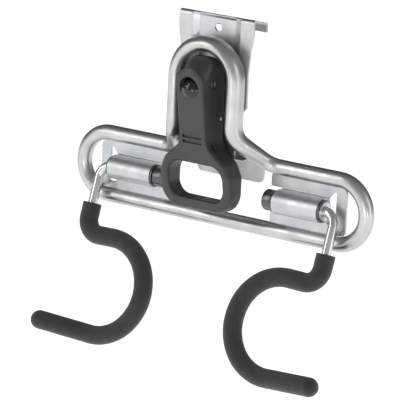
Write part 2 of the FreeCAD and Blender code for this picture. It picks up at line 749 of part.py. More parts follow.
def latch_tongue():
    """Curved tongue, concentric with the pivot, that locks under the rail."""
    inner = cylinder("tongue_inner", "tongue_radius - tongue_half_thick", "2 * tongue_half_wide",
                     x="-tongue_half_wide", y="-pivot_depth", z="pivot_height")
    outer = cylinder("tongue_outer", "tongue_radius + tongue_half_thick", "2 * tongue_half_wide",
                     x="-tongue_half_wide", y="-pivot_depth", z="pivot_height")
    window = box("tongue_window", ("2 * tongue_half_wide", "tongue_reach", "tongue_radius + overrun"),
                 ("-tongue_half_wide", "-pivot_depth", "pivot_height - tongue_radius - overrun"))
    band = common("tongue_band", cut("tongue_tube", outer, inner), window)
    eye = cylinder("tongue_eye", "tongue_eye_radius", "2 * tongue_half_wide", x="-tongue_half_wide",
                   y="-pivot_depth", z="pivot_height - tongue_radius")
    bore = cylinder("tongue_bore", "cross_pin_radius", "2 * neck_half", x="-neck_half", y="-pivot_depth",
                    z="pivot_height - tongue_radius")
    keep(cut("tongue_cut", fuse("tongue_blank", [band, eye]), bore), "latch_tongue")


# ---- hinges --------------------------------------------------------------------


def hinge_plate():
    """Stamped plate with a half-round barrel for the hook's pin."""
    front, back = "-(ring_depth + sheet_steel / 2)", "-(ring_depth - sheet_steel / 2)"
    low, high = "-(ring_drop + hinge_half_height)", "hinge_half_height - ring_drop"
    web = slab("hinge_web", "XZ", "-(ring_depth - sheet_steel / 2)", "sheet_steel", [[
        ("hinge_inner", low), ("hinge_outer", low), ("hinge_outer", high), ("hinge_inner", high)]])
    web = rounded("hinge_web_round", web, Y_AXIS, [
        ([Vector(value("hinge_outer"), 0, value(t)) for t in (low, high)], "hinge_corner")])
    barrel_length = "barrel_outer - barrel_inner"
    shell = cylinder("barrel_shell", "barrel_radius", barrel_length, x="barrel_inner", y="-barrel_depth",
                     z="-ring_drop")
    cheeks = box("barrel_cheeks", (barrel_length, "barrel_depth - ring_depth", "2 * barrel_radius"),
                 ("barrel_inner", "-barrel_depth", "-ring_drop - barrel_radius"))
    tool_start, tool_length = "barrel_inner - overcut", "barrel_outer - barrel_inner + 2 * overcut"
    bore = "(barrel_radius - sheet_steel)"
    tunnel = cylinder("barrel_tunnel", bore, tool_length, x=tool_start, y="-barrel_depth", z="-ring_drop")
    throat = box("barrel_throat", (tool_length, "barrel_depth", f"2 * {bore}"),
                 (tool_start, "-barrel_depth", f"-ring_drop - {bore}"))
    behind = box("barrel_behind", (tool_length, "ring_depth", "2 * barrel_radius"),
                 (tool_start, back, "-ring_drop - barrel_radius"))
    notch = box("hinge_notch",
                ("barrel_inner - hinge_inner + overcut", "2 * overrun", "2 * notch_half_height"),
                ("hinge_inner - overcut", "-ring_depth - overrun", "-ring_drop - notch_half_height"))
    window = slab("hinge_window", "XZ", "0", "barrel_depth + barrel_radius + overcut", [[
        ("barrel_outer", "window_rise - ring_drop"), ("window_outer - window_slope", "window_up - ring_drop"),
        ("window_outer", "window_up - window_lip - ring_drop"),
        ("window_outer", "-ring_drop - window_down"),
        ("barrel_outer + window_step", "-ring_drop - window_down"),
        ("barrel_outer", "-ring_drop - window_foot")]])
    tab = box("stop_tab",
              ("hinge_outer - window_outer - overcut", "stop_tab_reach + sheet_steel", "sheet_steel"),
              ("window_outer", f"{front} - stop_tab_reach", "-ring_drop - stop_tab_drop - sheet_steel"))
    blank = cut("hinge_blank", fuse("hinge_sheet", [web, shell, cheeks]), fuse("hinge_tools", [
        tunnel, throat, behind, notch]))
    opened = cut("hinge_open", blank, window)
    plate = fuse("hinge_right", [opened, tab])
    keep(plate, "right_hinge_plate")
    keep(mirrored("hinge_left", plate), "left_hinge_plate")


def barrel_straps():
    """Flat straps behind the barrels that keep the bushes in."""
    strap = box("strap_right", ("barrel_outer - barrel_inner", "sheet_steel", "2 * strap_half_height"),
                ("barrel_inner", "-(ring_depth - sheet_steel / 2)", "-ring_drop - strap_half_height"))
    keep(strap, "right_barrel_strap")
    keep(mirrored("strap_left", strap), "left_barrel_strap")


def bush(name, flange_start, sleeve_start):
    """Flanged plain bush for the hook's pin."""
    flange = cylinder(f"{name}_flange", "bush_flange_radius", "bush_flange", x=flange_start,
                      y="-barrel_depth", z="-ring_drop")
    sleeve = cylinder(f"{name}_sleeve", "bush_radius", "bush_length", x=sleeve_start, y="-barrel_depth",
                      z="-ring_drop")
    bore = cylinder(f"{name}_bore", "hook_rod_radius + hook_running_fit", "hook_shank_offset",
                    y="-barrel_depth", z="-ring_drop")
    return cut(f"{name}_cut", fuse(f"{name}_blank", [flange, sleeve]), bore)


def bushes():
    """Inner and outer bush at both hinges."""
    inner = bush("inner_bush", "barrel_inner - bush_flange", "barrel_inner")
    outer = bush("outer_bush", "barrel_outer", "barrel_outer - bush_length")
    for side, place in ((inner, "inner"), (outer, "outer")):
        keep(side, f"right_{place}_bush")
        keep(mirrored(f"left_{place}_mirror", side), f"left_{place}_bush")


# ---- hooks ---------------------------------------------------------------------


def hook_route(start, shank_start, trim):
    """Route of one hook in its own frame: pin along X, shank along -Z."""
    offset, root = value("hook_shank_offset"), value("hook_root_radius")
    if shank_start is None:
        route = Route(Vector(start, 0, 0), X_AXIS).run(offset - root - start).turn(root, 90, -Z_AXIS)
        route.run(value("hook_shank") - root)
    else:
        route = Route(Vector(offset, 0, -shank_start), -Z_AXIS).run(value("hook_shank") - shank_start)
    route.turn(value("hook_elbow_radius"), value("hook_elbow_turn"), -X_AXIS)
    route.run(value("hook_upper_run")).turn(value("hook_cradle_radius"), value("hook_cradle_turn"), -Z_AXIS)
    kick, kick_radius = value("hook_kick"), value("hook_kick_radius")
    route.turn(kick_radius, kick, -Y_AXIS)
    return route.run(value("hook_lower_run") - kick_radius * math.radians(kick) - trim)


def swing(obj):
    """Place a hook piece on its hinge, swung out to where it rests."""
    holder = doc.addObject("Part::Compound", f"{obj.Name}_placed")
    holder.Links = [obj]
    holder.Placement.Rotation = FreeCAD.Rotation(X_AXIS, -value("hook_swing"))
    return bind(holder, y="-barrel_depth", z="-ring_drop")


def hooks():
    """Bent rods with their foam sleeves and pin caps, at both hinges."""
    pin_start = "barrel_inner - bush_flange - cap_gap - cap_length"
    rod_route = hook_route(value(pin_start), None, value("sleeve_end_cover"))
    rod = swept("rod_sweep", rod_route.wire(), "hook_rod_radius")
    head = cylinder("rod_head", "rod_head_radius", "rod_head", x=f"{pin_start} - rod_head")
    rod_solid = fuse("rod_solid", [rod, head])

    sleeve_route = hook_route(0, value("sleeve_start"), 0)
    skin = swept("sleeve_sweep", sleeve_route.wire(), "sleeve_radius")
    tip = doc.addObject("Part::Sphere", "sleeve_tip")
    bind(tip, Radius="sleeve_radius")
    tip.Placement.Base = sleeve_route.spot
    foam = cut("sleeve_solid", fuse("sleeve_blank", [skin, tip]), rod)

    cap = cylinder("cap_disc", "cap_radius", "cap_length", x=pin_start)
    cap_solid = cut("cap_solid", cap, cylinder("cap_bore", "hook_rod_radius", "hook_shank_offset"))
    for solid, name in ((rod_solid, "hook_rod"), (foam, "hook_sleeve"), (cap_solid, "pin_cap")):
        placed = swing(solid)
        keep(placed, f"right_{name}")
        keep(mirrored(f"left_{name}_mirror", placed), f"left_{name}")


# ---- build and write -------------------------------------------------------------


def write_parts():
    """Check every object and write each sub-part's shape."""
    doc.recompute()
    for obj in doc.Objects:
        if {"Invalid", "Error"} & set(obj.State):
            raise SystemExit(f"{obj.Name} ({obj.Label}) failed: {obj.State}")
    os.makedirs("parts", exist_ok=True)
    for obj in kept:
        if obj.Shape.isNull() or not obj.Shape.isValid() or not obj.Shape.Solids:
            raise SystemExit(f"{obj.Label} has no valid solid")
        obj.Shape.exportStep(f"parts/{obj.Label}.step")
        extent = obj.Shape.BoundBox
        print(f"{obj.Label:22s} {len(obj.Shape.Solids)} solid, {obj.Shape.Volume / 1000:8.2f} cm3, "
              f"X {extent.XMin:.1f}..{extent.XMax:.1f} Y {extent.YMin:.1f}..{extent.YMax:.1f} "
              f"Z {extent.ZMin:.1f}..{extent.ZMax:.1f}")


rail_bracket()
ring_tube()
arch_tube()
lever_clevis()
clevis_rivets()
lock_lever()
dome_cap()
lever_pins()
pivot_washers()
lever_spring()
latch_tongue()
hinge_plate()
barrel_straps()
bushes()
hooks()
write_parts()
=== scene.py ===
import json
import math

import bmesh
import bpy
from mathutils import Matrix, Vector

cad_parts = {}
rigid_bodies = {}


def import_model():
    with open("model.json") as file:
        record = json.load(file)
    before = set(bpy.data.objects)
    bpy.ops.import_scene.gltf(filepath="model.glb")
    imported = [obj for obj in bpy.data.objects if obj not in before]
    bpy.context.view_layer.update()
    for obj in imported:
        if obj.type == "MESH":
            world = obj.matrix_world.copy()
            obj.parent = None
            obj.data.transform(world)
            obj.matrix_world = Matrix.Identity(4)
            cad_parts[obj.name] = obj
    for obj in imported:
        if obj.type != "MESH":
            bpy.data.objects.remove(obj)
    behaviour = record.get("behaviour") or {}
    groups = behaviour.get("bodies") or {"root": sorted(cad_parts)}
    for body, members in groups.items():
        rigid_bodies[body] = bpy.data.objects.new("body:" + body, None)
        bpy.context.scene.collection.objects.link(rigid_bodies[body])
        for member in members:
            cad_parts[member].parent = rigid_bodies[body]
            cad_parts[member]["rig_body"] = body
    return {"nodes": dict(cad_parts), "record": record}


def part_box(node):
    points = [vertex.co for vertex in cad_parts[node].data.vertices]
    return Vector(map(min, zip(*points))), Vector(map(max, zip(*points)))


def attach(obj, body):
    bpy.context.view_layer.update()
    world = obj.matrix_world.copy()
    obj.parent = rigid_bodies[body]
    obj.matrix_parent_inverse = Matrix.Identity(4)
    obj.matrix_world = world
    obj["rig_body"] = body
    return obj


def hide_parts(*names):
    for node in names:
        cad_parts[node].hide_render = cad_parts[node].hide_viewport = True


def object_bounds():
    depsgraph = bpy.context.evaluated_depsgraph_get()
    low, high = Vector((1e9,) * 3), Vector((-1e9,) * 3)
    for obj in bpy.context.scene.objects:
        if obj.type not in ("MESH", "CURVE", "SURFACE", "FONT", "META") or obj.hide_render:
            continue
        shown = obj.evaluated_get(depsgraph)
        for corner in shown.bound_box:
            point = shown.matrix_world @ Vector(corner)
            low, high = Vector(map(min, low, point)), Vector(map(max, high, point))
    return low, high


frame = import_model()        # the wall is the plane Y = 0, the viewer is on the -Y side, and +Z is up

# Looks of a fold-down bicycle wall rack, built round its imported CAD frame.
# Named sizes are in millimetres and angles in degrees. Meshes and the studio are in metres.

cad_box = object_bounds()
MM = 0.001
X_AXIS, Y_AXIS, Z_AXIS = Vector((1, 0, 0)), Vector((0, 1, 0)), Vector((0, 0, 1))
SLOT_OF = {part["node"]: part["material_slot"] for part in frame["record"]["subparts"]}
BODY_OF = {name: node["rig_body"] for name, node in frame["nodes"].items()}
SHEET = 2.0

# ---- materials -----------------------------------------------------------------


class Look:
    """A material whose nodes feed one Principled shader, in object coordinates."""

    def __init__(self, name, **sockets):
        self.material = bpy.data.materials.new(name)
        self.material.use_nodes = True
        self.tree = self.material.node_tree
        self.shader = self.tree.nodes["Principled BSDF"]
        for key, amount in sockets.items():
            self.shader.inputs[key.replace("_", " ").title().replace("Ior", "IOR")].default_value = amount
        self.place = self.add("ShaderNodeTexCoord").outputs["Object"]

    def add(self, kind, **inputs):
        node = self.tree.nodes.new(kind)
        for key, amount in inputs.items():
            self.feed(amount, node.inputs[key.replace("_", " ").title()])
        return node

    def feed(self, source, socket):
        if isinstance(source, bpy.types.NodeSocket):
            self.tree.links.new(source, socket)
        else:
            socket.default_value = source

    def noise(self, scale, detail=3.0, stretch=(1, 1, 1)):
        """Noise whose scale is in features per metre."""
        mapping = self.add("ShaderNodeMapping", vector=self.place, scale=stretch)
        return self.add("ShaderNodeTexNoise", vector=mapping.outputs["Vector"], scale=scale,
                        detail=detail).outputs["Fac"]

    def cells(self, scale):
        return self.add("ShaderNodeTexVoronoi", vector=self.place, scale=scale).outputs["Distance"]

    def spread(self, source, low, high, start=0.35, end=0.65):
        """Numbers from low to high as the source goes from start to end."""
        node = self.add("ShaderNodeMapRange", value=source)
        for key, amount in (("From Min", start), ("From Max", end), ("To Min", low), ("To Max", high)):
            node.inputs[key].default_value = amount
        return node.outputs["Result"]

    def blend(self, source, low, high):
        """Colours from low to high as the source goes from 0 to 1."""
        ramp = self.add("ShaderNodeValToRGB", fac=source)
        ramp.color_ramp.elements[0].color = (*low, 1)
        ramp.color_ramp.elements[1].color = (*high, 1)
        ramp.color_ramp.elements[0].position, ramp.color_ramp.elements[1].position = 0.3, 0.7
        return ramp.outputs["Color"]

    def colour(self, source, low, high):
        self.feed(self.blend(source, low, high), self.shader.inputs["Base Color"])
        return self

    def roughness(self, source, low, high):
        self.feed(self.spread(source, low, high), self.shader.inputs["Roughness"])
        return self

    def bump(self, source, depth_mm, strength=1.0):
        """Relief of a depth in millimetres, on top of any relief already there."""
        node = self.add("ShaderNodeBump", height=source, strength=strength, distance=depth_mm * MM)
        before = self.shader.inputs["Normal"].links
        if before:
            self.tree.links.new(before[0].from_socket, node.inputs["Normal"])
        self.tree.links.new(node.outputs["Normal"], self.shader.inputs["Normal"])
        return self


def zinc(name, low, high, rough, grain):
    """Bright zinc plate: cloudy lustre, and a fine grain in the gloss."""
    look = Look(name, metallic=1.0)
    look.colour(look.noise(45, 4), low, high)
    look.roughness(look.noise(120, 5), rough - 0.05, rough + 0.06)
    return look.bump(look.noise(1400, 2), grain)


def make_looks():
    """Materials by slot name."""
    sheet = zinc("zinc_sheet", (0.50, 0.52, 0.535), (0.60, 0.62, 0.635), 0.40, 0.010)
    tube = zinc("zinc_tube", (0.50, 0.505, 0.50), (0.60, 0.605, 0.60), 0.34, 0.004)
    rod = zinc("zinc_rod", (0.62, 0.625, 0.63), (0.72, 0.725, 0.73), 0.22, 0.003)
    hardware = zinc("zinc_hardware", (0.60, 0.605, 0.61), (0.74, 0.745, 0.75), 0.26, 0.006)
    spring = zinc("spring_steel", (0.20, 0.205, 0.21), (0.30, 0.305, 0.31), 0.34, 0.006)

    lever = Look("lever_plastic", ior=1.46, specular_ior_level=0.55)
    lever.colour(lever.noise(30, 5), (0.040, 0.040, 0.044), (0.050, 0.050, 0.053))
    lever.roughness(lever.noise(90, 4), 0.36, 0.46)
    lever.bump(lever.cells(2600), 0.03, 0.5).bump(lever.noise(900, 3), 0.02, 0.4)

    gloss = Look("gloss_black", ior=1.5, coat_weight=0.2, coat_roughness=0.05)
    gloss.colour(gloss.noise(60), (0.008, 0.008, 0.009), (0.012, 0.012, 0.013))
    gloss.roughness(gloss.noise(150), 0.06, 0.10)
    gloss.bump(gloss.noise(250), 0.01, 0.3)

    nylon = Look("black_nylon", ior=1.6, specular_ior_level=0.8, coat_weight=0.5, coat_roughness=0.12)
    nylon.colour(nylon.noise(80), (0.010, 0.010, 0.011), (0.018, 0.018, 0.019))
    nylon.roughness(nylon.noise(200), 0.20, 0.28)
    nylon.bump(nylon.noise(1500), 0.01, 0.5)

    foam = Look("foam", sheen_weight=0.25, sheen_roughness=0.6, specular_ior_level=0.3)
    foam.colour(foam.noise(35, 5), (0.021, 0.019, 0.019), (0.034, 0.031, 0.031))
    foam.roughness(foam.noise(150, 4), 0.72, 0.88)
    foam.bump(foam.cells(1500), 0.10, 0.7).bump(foam.noise(420, 4), 0.12, 0.6)
    names = ("zinc_sheet", "zinc_tube", "zinc_rod", "zinc_hardware", "spring_steel", "lever_plastic",
             "gloss_black", "black_nylon", "foam")
    looks = (sheet, tube, rod, hardware, spring, lever, gloss, nylon, foam)
    return {name: look.material for name, look in zip(names, looks)}


LOOKS = make_looks()


def dress(obj, slot):
    """Give a piece its look."""
    obj.data.materials.clear()
    obj.data.materials.append(LOOKS[slot])


# ---- mesh tools ------------------------------------------------------------------


def to_object(name, bm):
    """Object from a bmesh, with its normals pointing out."""
    bmesh.ops.recalc_face_normals(bm, faces=bm.faces)
    mesh = bpy.data.meshes.new(name)
    bm.to_mesh(mesh)
    bm.free()
    obj = bpy.data.objects.new(name, mesh)
    bpy.context.scene.collection.objects.link(obj)
    return obj


def settle(obj):
    """Swap a piece's mesh for what its modifiers make of it."""
    bpy.context.view_layer.update()
    shaped = bpy.data.meshes.new_from_object(obj.evaluated_get(bpy.context.evaluated_depsgraph_get()))
    obj.modifiers.clear()
    obj.data = shaped
    return obj


def carve(obj, *tools, operation="DIFFERENCE"):
    """Cut tool shapes out of a piece, or join them to it, and drop the tools."""
    for tool in tools:
        step = obj.modifiers.new("carve", "BOOLEAN")
        step.operation, step.solver, step.object = operation, "EXACT", tool
        settle(obj)
        bpy.data.objects.remove(tool)
    return obj


def soften(obj, width_mm, segments=3, angle=35):
    """Round a piece's sharp edges, and shade it smooth."""
    bm = bmesh.new()
    bm.from_mesh(obj.data)
    bmesh.ops.remove_doubles(bm, verts=bm.verts, dist=0.004 * MM)
    bmesh.ops.dissolve_limit(bm, angle_limit=math.radians(0.6), verts=bm.verts, edges=bm.edges)
    bm.to_mesh(obj.data)
    bm.free()
    step = obj.modifiers.new("edges", "BEVEL")
    step.width, step.segments, step.angle_limit = width_mm * MM, segments, math.radians(angle)
    step.limit_method = "ANGLE"
    step.miter_outer = "MITER_ARC"
    step.use_clamp_overlap = True
    return shade(settle(obj), angle)


def shade(obj, angle=35):
    """Smooth shading, broken at edges sharper than an angle."""
    obj.data.shade_smooth()
    obj.data.set_sharp_from_angle(angle=math.radians(angle))
    step = obj.modifiers.new("normals", "WEIGHTED_NORMAL")
    step.keep_sharp, step.weight = True, 60
    return settle(obj)


def finish(obj, body, slot, *replaced):
    """Dress a piece, seat it on its body, and hide the CAD parts it stands in for."""
    dress(obj, slot)
    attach(obj, body)
    if replaced:
        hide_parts(*replaced)
    return obj


def between(name, near, far):
    """Solid between two outlines that have the same number of points."""
    bm = bmesh.new()
    near = [bm.verts.new(spot) for spot in near]
    far = [bm.verts.new(spot) for spot in far]
    bm.faces.new(near)
    bm.faces.new(far[::-1])
    for index, vert in enumerate(near):
        after = (index + 1) % len(near)
        bm.faces.new((vert, far[index], far[after], near[after]))
    return to_object(name, bm)


def prism(name, outline, low, high):
    """Solid between two surfaces, from an X, Z outline; low and high give Y at a height."""
    return between(name, [(x, low(z), z) for x, z in outline], [(x, high(z), z) for x, z in outline])


def side_prism(name, outline_mm, start, end):
    """Solid between two X positions, from a Y, Z outline, all in millimetres."""
    return between(name, *([(x * MM, y * MM, z * MM) for y, z in outline_mm] for x in (start, end)))


def level(depth_mm):
    """Flat surface at a depth in front of the wall."""
    return lambda z: -depth_mm * MM


def rounded_outline(corners_mm, steps=10):
    """X, Z outline in metres from corners given as x, z and radius in millimetres."""
    points = []
    count = len(corners_mm)
    for index, (x, z, radius) in enumerate(corners_mm):
        here = Vector((x, z))
        before = Vector(corners_mm[index - 1][:2])
        after = Vector(corners_mm[(index + 1) % count][:2])
        back, ahead = (before - here).normalized(), (after - here).normalized()
        half = back.angle(ahead) / 2
        if radius == 0:
            points.append(here * MM)
            continue
        centre = here + (back + ahead).normalized() * (radius / math.sin(half))
        start = here + back * (radius / math.tan(half)) - centre
        end = here + ahead * (radius / math.tan(half)) - centre
        turn = start.angle_signed(end)
        for step in range(steps + 1):
            spoke = start.copy()
            spoke.rotate(Matrix.Rotation(-turn * step / steps, 2))
            points.append((centre + spoke) * MM)
    return [(p.x, p.y) for p in points]


def both_sides(corners_mm):
    """Corners on the +X side, followed by their mirror images."""
    return corners_mm + [(-x, z, radius) for x, z, radius in reversed(corners_mm)]


def bar(name, start, end, radius_mm, sides=48):
    """Plain round bar between two points in millimetres, used as a cutting tool."""
    start, end = Vector(start) * MM, Vector(end) * MM
    bm = bmesh.new()
    turn = Z_AXIS.rotation_difference(end - start).to_matrix().to_4x4()
    bmesh.ops.create_cone(bm, cap_ends=True, segments=sides, radius1=radius_mm * MM, radius2=radius_mm * MM,
                          depth=(end - start).length, matrix=Matrix.Translation((start + end) / 2) @ turn)
    return to_object(name, bm)


def mirrored(obj, name):
    """Copy of a piece on the other side of the middle plane."""
    bm = bmesh.new()
    bm.from_mesh(obj.data)
    bmesh.ops.scale(bm, vec=(-1, 1, 1), verts=bm.verts)
    return to_object(name, bm)


class Path:
    """Stations along straight runs and tangent arcs, in millimetres."""

    def __init__(self, start, heading, pace):
        self.spots, self.headings, self.pace = [Vector(start)], [Vector(heading).normalized()], pace

    def add(self, spot, heading):
        self.spots.append(spot)
        self.headings.append(heading.normalized())

    def run(self, length):
        spot, heading = self.spots[-1], self.headings[-1]
        count = max(1, round(length / self.pace))
        for step in range(1, count + 1):
            self.add(spot + heading * (length * step / count), heading)
        return self

    def turn(self, radius, degrees, towards):
        spot, heading = self.spots[-1], self.headings[-1]
        side = (towards - heading * towards.dot(heading)).normalized()
        centre = spot + side * radius
        sweep = math.radians(degrees)
        count = max(6, round(radius * sweep / self.pace))
        for step in range(1, count + 1):
            angle = sweep * step / count
            self.add(centre - side * (radius * math.cos(angle)) + heading * (radius * math.sin(angle)),
                     heading * math.cos(angle) + side * math.sin(angle))
        return self

    def lengths(self):
        """Distance along the path at each station."""
        total = [0.0]
        for before, after in zip(self.spots, self.spots[1:]):
            total.append(total[-1] + (after - before).length)
        return total


def loft(name, rings):
    """Closed skin over rings of points in millimetres, with flat ends."""
    bm = bmesh.new()
    loops = [[bm.verts.new(p * MM) for p in ring] for ring in rings]
    for before, after in zip(loops, loops[1:]):
        for index in range(len(before)):
            following = (index + 1) % len(before)
            bm.faces.new((before[index], before[following], after[following], after[index]))
    bm.faces.new(loops[0])
    bm.faces.new(loops[-1][::-1])
    return to_object(name, bm)


def ring_at(spot, heading, lean, long_half, short_half, sides=40, ripple=None):
    """Oval ring of points square to a heading, its long axis leaning one way."""
    long_axis = (lean - heading * lean.dot(heading)).normalized()
    short_axis = heading.cross(long_axis)
    points = []
    for index in range(sides):
        angle = math.tau * index / sides
        swell = 1.0 if ripple is None else ripple(angle)
        points.append(spot + long_axis * (math.cos(angle) * long_half * swell)
                      + short_axis * (math.sin(angle) * short_half * swell))
    return points


def smooth(start, end, amount):
    """0 before start, 1 after end, and an even S between them."""
    share = max(0.0, min(1.0, (amount - start) / (end - start)))
    return share * share * (3 - 2 * share)


# ---- lever -----------------------------------------------------------------------

LEVER_LOW, LEVER_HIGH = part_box("lock_lever")
PIN_LOW, PIN_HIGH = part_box("lever_pivot_pin")
PIVOT = (PIN_LOW + PIN_HIGH) / 2 / MM
HANDLE_HALF = LEVER_HIGH.x / MM
NECK_HALF = PIN_HIGH.x / MM
LEVER_BACK = -LEVER_HIGH.y / MM
FACE_DEPTH, FACE_TILT = 65.4, 9.7
WALL = 3.0
SEAT_RADIUS, SEAT_DEPTH, SEAT_HEIGHT = 9.3, 1.6, 72.0
# handle and the widening from the neck, from the neck down
WAIST_HEIGHT, WAIST_ROUND = 25.0, 12
SHOULDER_HALF, SHOULDER_HEIGHT, SHOULDER_ROUND = 30.0, 10.5, 9
HANDLE_ROUND = 17
GRIP_HALF, GRIP_TOP, GRIP_FOOT, GRIP_CORNER = 27.0, 8.5, -21.5, 11.5
# round top: the straight sides end at NECK_JOIN, and the middle of the top is flat
NECK_JOIN, TOP_FLAT = 48, 0.5
CROWN_RADIUS, CROWN_CORNER = 22.6, 9.5
FACE_CROWN = 76.0
HOOD_FRONT, HOOD_BACK = 64.5, 48.0
BACK_EDGE, BACK_EASE, BACK_DROP = 78.5, 4, 2
# rounding of the outer edges, which narrows between two heights
EDGE_WIDE, EDGE_NARROW = 3.1, 1.6
EDGE_FADE = (8, 28)
EDGE_STEPS, MIDDLE_STEPS, PLAIN_STEPS = 5, 18, 20
# hollow back, grooves and holes
BAY_FOOT, BAY_ROUND, BAY_FACE_GAP, BAY_OVERRUN = 15.0, 3, 0.5, 2
GROOVES = (31.3, 27.0)
GROOVE_HALF, GROOVE_RADIUS, GROOVE_SINK = 9.5, 1.4, 0.6
CUT_REACH, PIN_CLEARANCE = 20, 0.15
GRIP_CLEAR, GRIP_OVERRUN = 0.04, 2


def face_at(inset_mm=0.0):
    """Tilted front face of the lever, or a surface set back from it."""
    slope = math.tan(math.radians(FACE_TILT))
    return lambda z: -(FACE_DEPTH - inset_mm) * MM - (z - SEAT_HEIGHT * MM) * slope


def crown_height(depth, inset):
    """Height of the round top at a depth in front of the wall."""
    radius = CROWN_RADIUS - inset
    across = min(abs(depth + PIVOT.y), radius)
    rise = CROWN_RADIUS + PIVOT.z - FACE_CROWN - NECK_HALF
    face_top = FACE_CROWN + NECK_HALF - inset + rise * hood_share(depth)
    return min(PIVOT.z + math.sqrt(radius ** 2 - across ** 2), face_top)


def hood_share(depth):
    """0 on the lever's face, rising to 1 where the hood is full."""
    return 1 - smooth(HOOD_BACK, HOOD_FRONT, depth)


def neck_top(half, height, corner, steps=10):
    """Round-cornered top of the neck, from its right side over to its left."""
    arc = [(half - corner + corner * math.cos(math.radians(90 * n / steps)),
            height - corner + corner * math.sin(math.radians(90 * n / steps))) for n in range(steps + 1)]
    return arc + [(-x, z) for x, z in reversed(arc)]


def edge_round(height):
    """Rounding of the lever's edges: wide round the handle, narrow up the neck."""
    return EDGE_NARROW + (EDGE_WIDE - EDGE_NARROW) * (1 - smooth(*EDGE_FADE, height))


def stations(rounded):
    """Steps from face to back: how far along, and how far into an end's rounding."""
    if not rounded:
        return [(n / PLAIN_STEPS, 0.0) for n in range(PLAIN_STEPS + 1)]
    leans = [math.cos(math.radians(90 * n / EDGE_STEPS)) for n in range(EDGE_STEPS)]
    middle = [(n / MIDDLE_STEPS, 0.0) for n in range(MIDDLE_STEPS + 1)]
    return [(0.0, lean) for lean in leans] + middle + [(1.0, -lean) for lean in reversed(leans)]


def drawn_in(outline, share):
    """Outline moved inward along its normals by a share of the edge rounding."""
    moved = []
    for index, (x, z) in enumerate(outline):
        ahead, behind = outline[(index + 1) % len(outline)], outline[index - 1]
        along = Vector((ahead[0] - behind[0], ahead[1] - behind[1])).normalized()
        amount = share * edge_round(z)
        moved.append((x - along.y * amount, z + along.x * amount))
    return moved


def seated_ring(outline, along, lean, back, face_inset, rounded, sense=1):
    """Outline laid between the tilted face and the back, inside the edge rounding."""
    share = sense * (1 - math.sqrt(1 - lean * lean)) if rounded else 0.0
    ring = []
    for (x, z), (_, flat_z) in zip(drawn_in(outline, share), outline):
        start = face_at(face_inset)(z * MM) / MM
        room, radius = -back - start, edge_round(flat_z) if rounded else 0.0
        ring.append(Vector((x, start + radius + (room - 2 * radius) * along - radius * lean, z)))
    return ring


def neck_loft(name, lower, inset, front, back, face_inset, rounded=False):
    """Solid whose outline is fixed below and follows the round top from front to back."""
    half = NECK_HALF - inset
    lower_mm = [(x / MM, z / MM) for x, z in lower]
    radius = EDGE_NARROW if rounded else 0.0
    rings = []
    for along, lean in stations(rounded):
        depth = front - radius - (front - back - 2 * radius) * along + radius * lean
        height = crown_height(depth, inset)
        if not inset:
            height -= (height - BACK_EDGE - BACK_DROP) * smooth(LEVER_BACK + BACK_EASE, LEVER_BACK, depth)
        corner = half - TOP_FLAT + (CROWN_CORNER - NECK_HALF + TOP_FLAT) * hood_share(depth)
        outline = neck_top(half, height, corner) + lower_mm
        rings.append(seated_ring(outline, along, lean, back, face_inset, rounded))
    return loft(name, rings)


def make_grip():
    """Finger opening, flared at both ends by the loop's rounding."""
    corners = [(GRIP_HALF, GRIP_TOP, GRIP_CORNER), (GRIP_HALF, GRIP_FOOT, GRIP_CORNER)]
    outline = [(x / MM, z / MM) for x, z in rounded_outline(both_sides(corners))][::-1]
    rings = [seated_ring(outline, along, lean, LEVER_BACK, 0, True, -1) for along, lean in stations(True)]
    ends = []
    for ring, push in ((rings[0], -1), (rings[-1], 1)):
        for spot in ring:
            spot.y += push * GRIP_CLEAR
        ends.append([spot + Vector((0, push * GRIP_OVERRUN, 0)) for spot in ring])
    return loft("grip", [ends[0]] + rings + [ends[1]])


def make_lever():
    """Moulded lever: hollow neck, round top and looped handle with soft edges."""
    low = LEVER_LOW.z / MM
    side = [(NECK_HALF, NECK_JOIN, 0), (NECK_HALF, WAIST_HEIGHT, WAIST_ROUND),
            (SHOULDER_HALF, SHOULDER_HEIGHT, SHOULDER_ROUND), (HANDLE_HALF, 0.0, SHOULDER_ROUND),
            (HANDLE_HALF, low, HANDLE_ROUND)]
    lower = rounded_outline(both_sides(side))[::-1]
    front = FACE_DEPTH + (FACE_CROWN + NECK_HALF - SEAT_HEIGHT) * math.tan(math.radians(FACE_TILT))
    hull = neck_loft("lever", lower, 0, front, LEVER_BACK, 0, rounded=True)
    bay_half = NECK_HALF - WALL
    bay_corners = [(bay_half, NECK_JOIN, 0), (bay_half, BAY_FOOT, BAY_ROUND)]
    bay_foot = rounded_outline(both_sides(bay_corners))[::-1]
    bay = neck_loft("bay", bay_foot, WALL, front - WALL - 1, LEVER_BACK - BAY_OVERRUN, WALL + BAY_FACE_GAP)
    tilt = math.radians(FACE_TILT)
    out = Vector((0, -math.cos(tilt), math.sin(tilt)))
    seat_middle = Vector((0, -FACE_DEPTH, SEAT_HEIGHT))
    seat = bar("seat", seat_middle - out * SEAT_DEPTH, seat_middle + out * CUT_REACH, SEAT_RADIUS, 64)
    tools = [make_grip(), seat]
    for height in GROOVES:
        depth = face_at(GROOVE_SINK)(height * MM) / MM
        ends = [(side * GROOVE_HALF, depth, height) for side in (-1, 1)]
        tools.append(bar("groove", *ends, GROOVE_RADIUS, 20))
    for node in ("lever_pivot_pin", "latch_cross_pin", "lever_rear_pin"):
        pin_low, pin_high = (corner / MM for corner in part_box(node))
        middle = (pin_low + pin_high) / 2
        ends = [(side * CUT_REACH, middle.y, middle.z) for side in (-1, 1)]
        tools.append(bar("pin_hole", *ends, pin_high.z - middle.z + PIN_CLEARANCE, 40))
    finish(shade(carve(hull, *tools, bay)), "lever", "lever_plastic", "lock_lever")


# ---- hooks: shared shape, then foam sleeves ----------------------------------------

